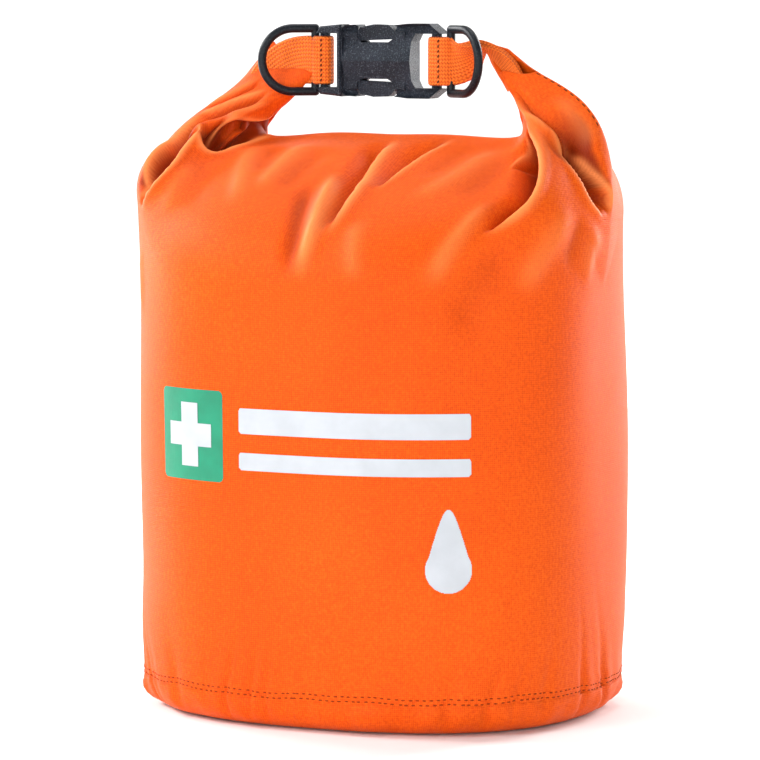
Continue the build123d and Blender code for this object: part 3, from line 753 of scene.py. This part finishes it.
def on_cloth(s, q):
    """Points, directions round and up, and outward normals of the finished cloth."""
    s, q = np.broadcast_arrays(np.asarray(s, float), np.asarray(q, float))
    es, eq, en = frames(ring)
    j = np.mod(s - RING_S[0], ROUND) / (RING_S[1] - RING_S[0])
    j0 = np.floor(j).astype(int) % n_ring
    j1, fj = (j0 + 1) % n_ring, j - np.floor(j)
    out = []
    for field in (ring, es, eq, en):
        got = np.zeros(s.shape + (3,))
        for jj, w in ((j0, 1 - fj), (j1, fj)):
            for idx in np.ndindex(s.shape):
                col = RUN[:, jj[idx]]
                i = min(max(np.searchsorted(col, q[idx]) - 1, 0), len(col) - 2)
                t = (q[idx] - col[i]) / (col[i + 1] - col[i])
                got[idx] += w[idx] * (field[i, jj[idx]] * (1 - t) + field[i + 1, jj[idx]] * t)
        out.append(got)
    return out


def beads(name, s, q, length, width, proud, slot, lean=0.0, replaced=()):
    """A row of stitches lying on the cloth, along s, or up the cloth if lean is large."""
    p, es, eq, en = on_cloth(s, q)
    ring_n, seg = 6, 5
    vs, fs = [], []
    for i in range(len(p)):
        d = unit(es[i] + lean * eq[i])
        side = np.cross(en[i], d)
        start = len(vs)
        for k in range(seg + 1):
            t = k / seg * 2 - 1
            r = np.sqrt(max(1 - t ** 4, 0.02))
            c = p[i] + d * t * length / 2 + en[i] * (proud * (1 - 0.9 * t * t) - 0.1)
            for a in range(ring_n):
                th = 2 * pi * a / ring_n
                vs.append(c + side * cos(th) * width / 2 * r + en[i] * sin(th) * width / 2 * r)
        fs += [tuple(f) for f in grid_faces(seg + 1, ring_n, wrap=True, start=start)]
        fs.append(tuple(start + a for a in reversed(range(ring_n))))
        fs.append(tuple(start + seg * ring_n + a for a in range(ring_n)))
    return dress(make_mesh(name, vs, fs), slot, *replaced)


ROW_1, ROW_2, STITCH = 1.4, 2.9, 2.1            # two rows up the cloth from the base seam, and their pitch
st = np.arange(0, ROUND, STITCH)
st2 = np.concatenate([st, st + 1.0]) + rng.uniform(-0.25, 0.25, 2 * len(st))
wander = 0.25 * np.sin(2 * pi * 7 * st2 / ROUND) + 0.2 * np.sin(2 * pi * 19 * st2 / ROUND + 1.0)
beads("base_seam_stitches", st2, np.repeat([ROW_1, ROW_2], len(st)) + wander, 1.3, 0.42, 0.12,
      "orange_thread", replaced=("base_stitching",))

HEM_S = 109.6                                   # just in front of the mouth's right edge
hem_q = np.interp(HEM_S, RING_S, RUN[-1]) - np.arange(1.2, 28, 2.6)
beads("mouth_hem_stitches", np.full(len(hem_q), HEM_S), hem_q, 1.8, 0.34, 0.12, "dark_thread", lean=80.0)


def decal(name, slot, inside, s0, s1, q0, q1, lift, replaced):
    """A printed film on the front: the cells of a fine grid whose middle is inside the shape."""
    step = 0.22
    ss, qq = np.arange(s0, s1 + step, step), np.arange(q0, q1 + step, step)
    coarse_s, coarse_q = np.linspace(s0, ss[-1], 24), np.linspace(q0, qq[-1], 12)
    p, _, _, n = on_cloth(*np.meshgrid(coarse_s, coarse_q, indexing="ij"))

    def finer(field):
        rows = np.stack([[np.interp(qq, coarse_q, field[i, :, c]) for c in range(3)]
                         for i in range(len(coarse_s))])
        return np.stack([[np.interp(ss, coarse_s, rows[:, c, k]) for k in range(len(qq))]
                         for c in range(3)], -1).transpose(1, 0, 2)

    pts, nor = finer(p), finer(n)
    mid_s, mid_q = np.meshgrid((ss[:-1] + ss[1:]) / 2, (qq[:-1] + qq[1:]) / 2, indexing="ij")
    keep = inside(mid_s, mid_q)
    top = (pts + nor * lift).reshape(-1, 3)
    i, j = np.nonzero(keep)
    a = i * len(qq) + j
    quads = np.stack([a, a + len(qq), a + len(qq) + 1, a + 1], -1)
    used, inv = np.unique(quads, return_inverse=True)
    ob = make_mesh(name, top[used], inv.reshape(-1, 4), np.stack(
        [np.repeat(ss, len(qq)), np.tile(qq, len(ss))], -1)[used] * MM)
    return dress(ob, slot, replaced)


def bar(s0, s1, q0, q1, r):
    """A rectangle with corners of radius r."""
    def test(s, q):
        dx = np.maximum(np.maximum(s0 + r - s, s - s1 + r), 0)
        dy = np.maximum(np.maximum(q0 + r - q, q - q1 + r), 0)
        return np.hypot(dx, dy) <= r
    return test


def either(*tests):
    return lambda s, q: np.any([t(s, q) for t in tests], axis=0)


def drop_shape(s, q):
    """A round drop with its tip drawn up."""
    radius, tall = 7.0, 18.0
    x, y = s - 48.0, q - 42.0
    half = radius * np.sqrt(np.clip(1 - y / tall, 0, 1)) * (1 - 0.25 * y / tall)
    return ((y > 0) & (np.abs(x) < half)) | (np.hypot(x, y) < radius)


decal("first_aid_patch", "green_print", bar(-49.8, -24.0, 65.4, 93.2, 1.8), -50, -23.8, 65.2, 93.4, 0.10,
      "aid_patch")
cross = either(bar(-46.2, -28.4, 75.7, 82.9, 0.3), bar(-40.7, -33.6, 69.6, 89.0, 0.3))
decal("first_aid_cross", "white_print", cross, -46.6, -28.0, 69.4, 89.2, 0.22, "aid_cross")
decal("title_print", "white_print", bar(-18.3, 55.0, 80.6, 88.4, 1.2), -18.5, 55.2, 80.4, 88.6, 0.10,
      "title_bar")
decal("subtitle_print", "white_print", bar(-18.3, 55.0, 69.6, 75.0, 1.2), -18.5, 55.2, 69.4, 75.2, 0.10,
      "subtitle_bar")
decal("drop_print", "white_print", drop_shape, 40.6, 55.4, 34.6, 60.4, 0.10, "drop_mark")


# Webbing straps -------------------------------------------------------------------

def strap(name, bar_x, ring_x, path, replaced):
    """One webbing layer that runs out of the mouth, round the buckle's bar and back.

    path goes from the ring to the root: place, direction of the strap's width, and share of the width.
    """
    keys = np.arange(len(path))
    fine = np.linspace(0, len(path) - 1, 60)
    mid = curve(keys, [p[0] for p in path], fine)
    wid = unit(curve(keys, [p[1] for p in path], fine))
    wide = np.interp(fine, keys, [p[2] for p in path])
    tan = unit(np.gradient(mid, axis=0))
    nor = unit(np.cross(wid, tan))
    nor *= np.sign(nor[:, 1:2].mean() or 1) * -1        # towards the front
    side = 1 if ring_x > bar_x else -1
    half = WEB_T / 2 + 0.08
    pts = list((mid + nor * half)[::-1])
    wids = list(wid[::-1])
    size = list(wide[::-1])
    r_ring, r_bar = 1.35 + 0.1 + WEB_T / 2, 1.6 + 0.1 + WEB_T / 2
    onward = np.linspace(0.15, 0.85, 4)                 # over the ring's bar and on to the buckle's
    loop = [(ring_x + (bar_x - ring_x) * a, -(r_ring + (r_bar - r_ring) * a)) for a in onward]
    turn = [radians(a) for a in np.linspace(-90, 90, 13)]
    loop += [(bar_x - side * r_bar * cos(t), r_bar * sin(t)) for t in turn]
    loop += [(x, -y) for x, y in loop[len(onward) - 1::-1]]
    pts += [np.array([x, HANDLE_Y + y, HANDLE_Z]) for x, y in loop]
    wids += [np.array([0.0, 0.0, 1.0])] * len(loop)
    size += [1.0] * len(loop)
    pts += list(mid - nor * half)
    wids += list(wid)
    size += list(wide)
    pts, wids = np.array(pts), unit(np.array(wids))
    for _ in range(2):
        pts[1:-1] = 0.5 * pts[1:-1] + 0.25 * (pts[:-2] + pts[2:])
        wids[1:-1] = unit(0.5 * wids[1:-1] + 0.25 * (wids[:-2] + wids[2:]))
    tan = unit(np.gradient(pts, axis=0))
    nor = unit(np.cross(wids, tan))
    wids = unit(np.cross(tan, nor))
    length = np.concatenate([[0], np.cumsum(np.linalg.norm(np.diff(pts, axis=0), axis=1))])
    at = np.arange(0, length[-1], 0.4)
    pick = [np.stack([np.interp(at, length, f[:, c]) for c in range(3)], -1) for f in (pts, wids, nor)]
    w = np.linspace(-0.5, 0.5, 30)                      # the section: a ribbed band with rounded edges
    edge = np.sqrt(np.clip(1 - (np.abs(w) * 2) ** 14, 0, 1))
    thick = (0.5 * WEB_T + 0.05 * np.cos(w * WEB_W * 2 * pi / RIB)) * edge
    sec = np.stack([np.concatenate([w, w[-2:0:-1]]), np.concatenate([thick, -thick[-2:0:-1]])], -1)
    size = np.interp(at, length, size)[:, None, None]
    v = (pick[0][:, None] + pick[1][:, None] * (sec[None, :, :1] * WEB_W * size)
         + unit(pick[2])[:, None] * sec[None, :, 1:])
    uv = np.stack(np.broadcast_arrays(at[:, None], sec[None, :, 0] * WEB_W), -1)
    n = len(sec)
    fs = [tuple(f) for f in grid_faces(len(at), n, wrap=True)]
    fs += [tuple(range(n)), tuple((len(at) - 1) * n + i for i in reversed(range(n)))]
    ob = make_mesh(name, v.reshape(-1, 3), fs, uv.reshape(-1, 2) * MM)
    return dress(ob, "orange_webbing", replaced, body=None), pick


def strap_row(name, data, x, body, replaced):
    """Dark stitches across the strap's front and back, at the given x."""
    mid, wid, nor = data
    count, spread = 9, 12.4
    vs, fs = [], []
    for sign in (1, -1):
        ok = np.nonzero((mid[:, 1] < HANDLE_Y) if sign > 0 else (mid[:, 1] > HANDLE_Y))[0]
        i = ok[np.argmin(np.abs(mid[ok, 0] - x))]
        n = unit(nor[i]) * np.sign(-sign * nor[i][1])
        w, t = unit(wid[i]), unit(np.cross(wid[i], n))
        for k in range(count):
            c = mid[i] + w * (k / (count - 1) - 0.5) * spread + n * (WEB_T / 2 + 0.12)
            first = len(vs)
            for a in np.linspace(-1, 1, 6):
                r = 0.26 * np.sqrt(max(1 - a ** 4, 0.05))
                for b in range(8):
                    th = 2 * pi * b / 8
                    bend = t * (cos(th) * r + 0.12 * a) + n * (sin(th) * r - 0.18 * a * a)
                    vs.append(c + w * a * 0.52 + bend)
            fs += [tuple(f) for f in grid_faces(6, 8, wrap=True, start=first)]
            fs += [tuple(first + q for q in reversed(range(8))), tuple(first + 40 + q for q in range(8))]
    return dress(make_mesh(name, vs, fs), "dark_thread", replaced, body=body)


Z = (0.0, 0.0, 1.0)
left_path = [((-25.0, 4, 200), Z, 1), ((-29.5, 4.05, 199.9), (-0.1, 0, 1), 1),
             ((-34.6, 4.2, 198.4), (-0.35, 0, 1), 1),
             ((-39.4, 4.3, 195.2), (-0.655, 0, 0.757), 0.95), ((-43.4, 4.3, 191.6), (-0.655, 0, 0.757), 0.78)]
right_path = [((21.4, 4, 200), Z, 1), ((24.8, 4, 200.7), (0.05, -0.25, 1), 0.95),
              ((28.6, 3.9, 202.9), (0.15, -0.85, 0.75), 0.75), ((32.4, 4.0, 204.6), (0.1, -1.0, 0.35), 0.45),
              ((36.4, 4.2, 202.0), (0.65, -0.55, 0.45), 0.45), ((40.2, 4.3, 197.9), (0.75, -0.2, 0.6), 0.50),
              ((43.4, 4.3, 192.6), (0.75, 0, 0.6), 0.45)]
strap_l, data_l = strap("webbing_left", -21.6, -25.0, left_path, "strap_left")
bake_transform(strap_l)
strap_r, data_r = strap("webbing_right", 16.6, 21.4, right_path, "strap_right")
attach(strap_r, "bag")
strap_row("strap_stitches_left", data_l, -21.9, "left_end", "bar_tack_left")
strap_row("strap_stitches_right", data_r, 18.4, "bag", "bar_tack_right")

# Buckle ---------------------------------------------------------------------------

def moulding(name, node, body, radius, crest=0.0):
    """A moulded version of a buckle part: its edges broken by a small radius, its front raised to a crest."""
    crest_z, half_width = HANDLE_Z * MM, 11.5 * MM
    bm = bmesh.new()
    bm.from_mesh(NODES[node].data)
    bm.transform(NODES[node].matrix_world)
    bmesh.ops.remove_doubles(bm, verts=bm.verts, dist=1e-6)
    bmesh.ops.dissolve_limit(bm, angle_limit=radians(2), verts=bm.verts, edges=bm.edges)
    if crest:
        bmesh.ops.bisect_plane(bm, geom=bm.verts[:] + bm.edges[:] + bm.faces[:], plane_co=(0, 0, crest_z),
                               plane_no=(0, 0, 1))
        for v in bm.verts:
            if v.co.y < 0.02 * MM:
                v.co.y += crest * MM * abs(v.co.z - crest_z) / half_width
    rims = [e for e in bm.edges if len(e.link_faces) == 2 and e.calc_face_angle(0) > radians(24)]
    bmesh.ops.bevel(bm, geom=rims, offset=radius * MM, offset_type="OFFSET", segments=2, profile=0.5,
                    affect="EDGES", clamp_overlap=True)
    bmesh.ops.triangulate(bm, faces=bm.faces)
    me = bpy.data.meshes.new(name)
    bm.to_mesh(me)
    bm.free()
    me.polygons.foreach_set("use_smooth", [True] * len(me.polygons))
    me.set_sharp_from_angle(angle=radians(32))
    for e in me.edges:                              # the crest stays a crisp line
        a, b = (me.vertices[k].co for k in e.vertices)
        off = max(abs(a.z - crest_z), abs(b.z - crest_z))
        if crest and max(a.y, b.y) < 1.0 * MM and off < 0.01 * MM:
            e.use_edge_sharp = True
    ob = placed(name, me)
    ob.modifiers.new("flat_faces", "WEIGHTED_NORMAL").keep_sharp = True
    return dress(ob, "buckle_plastic", node, body=body)


moulding("buckle_socket_moulding", "buckle_socket", "bag", 0.5, 2.8)
moulding("buckle_plug_moulding", "buckle_frame", "left_end", 0.35)

# Studio ------------------------------------------------------------------------
# A round white floor that sweeps up into a wall: radius and height
turns, floor_r, sweep = 96, 1900, 700
prof = [(r, 0) for r in (0.001, 400, 900, 1500, floor_r)]
prof += [(floor_r + sweep * sin(radians(a)), sweep - sweep * cos(radians(a))) for a in range(10, 91, 10)]
prof += [(floor_r + sweep, 1500)]
fv = [(r * cos(2 * pi * k / turns), r * sin(2 * pi * k / turns), z) for r, z in prof for k in range(turns)]
floor = make_mesh("studio_floor", fv, grid_faces(len(prof), turns, wrap=True))
m = Nodes("studio_floor")
white = m.ramp(m.noise(3, 2), [(0.3, (0.90, 0.90, 0.90)), (0.7, (0.93, 0.93, 0.93))])
floor.data.materials.append(m.finish(white, 0.9, Specular_IOR_Level=0.2))
world = bpy.data.worlds.new("studio")
world.use_nodes = True
world.node_tree.nodes["Background"].inputs[0].default_value = (1.0, 1.0, 1.0, 1.0)
world.node_tree.nodes["Background"].inputs[1].default_value = 0.16
bpy.context.scene.world = world


def area_light(name, place, target, size, power):
    """A white rectangular light facing its target. Places and sizes are in metres."""
    data = bpy.data.lights.new(name, "AREA")
    data.shape, data.size, data.size_y, data.energy = "RECTANGLE", size[0], size[1], power
    ob = placed(name, data)
    ob.location = place
    ob.rotation_euler = (Vector(target) - Vector(place)).to_track_quat("-Z", "Y").to_euler()


area_light("key", (-0.56, -1.05, 0.76), (0, 0, 0.12), (0.5, 0.5), 6.2)
area_light("fill", (1.05, -0.95, 0.50), (0, 0, 0.10), (0.8, 0.8), 3.0)
area_light("low", (0.25, -1.50, 0.18), (0, 0, 0.03), (0.9, 0.3), 6.0)
area_light("rake_left", (-1.30, -0.35, 1.05), (0, 0, 0.12), (0.4, 0.4), 17.0)
area_light("rim_left", (-1.33, 0.48, 0.55), (0, 0, 0.12), (0.5, 0.9), 16.0)
area_light("rim_right", (0.50, 1.35, 0.60), (0, 0, 0.12), (0.5, 0.9), 26.0)
area_light("backdrop", (-0.15, 0.45, 1.5), (-0.95, 2.1, 0.35), (0.9, 0.9), 34.0)
area_light("backdrop_front", (0.2, -0.5, 1.7), (0.9, -2.1, 0.5), (0.9, 0.9), 8.0)

# Camera: long lens, a little above the handle, off to one side. Distances are in metres, the lens in mm.
AZ, DIST, HIGH, PITCH = radians(25.3), 1.400, 0.234, radians(5.42)
FILM, LENS = 36.0, 214.579
right = Vector((cos(AZ), sin(AZ), 0))
ahead = Vector((-sin(AZ) * cos(PITCH), cos(AZ) * cos(PITCH), -sin(PITCH)))
camera = bpy.data.cameras.new("camera")
camera.sensor_width, camera.lens = FILM, LENS
camera.clip_start, camera.clip_end = 0.05, 50
cam = placed("camera", camera)
upward = right.cross(ahead)
place = Vector((DIST * sin(AZ), -DIST * cos(AZ), HIGH)) - right * 0.0008
cam.matrix_world = Matrix((
    (right.x, upward.x, -ahead.x, place.x), (right.y, upward.y, -ahead.y, place.y),
    (right.z, upward.z, -ahead.z, place.z), (0, 0, 0, 1)))
bpy.context.scene.camera = cam
bpy.context.scene.view_settings.view_transform = "Standard"
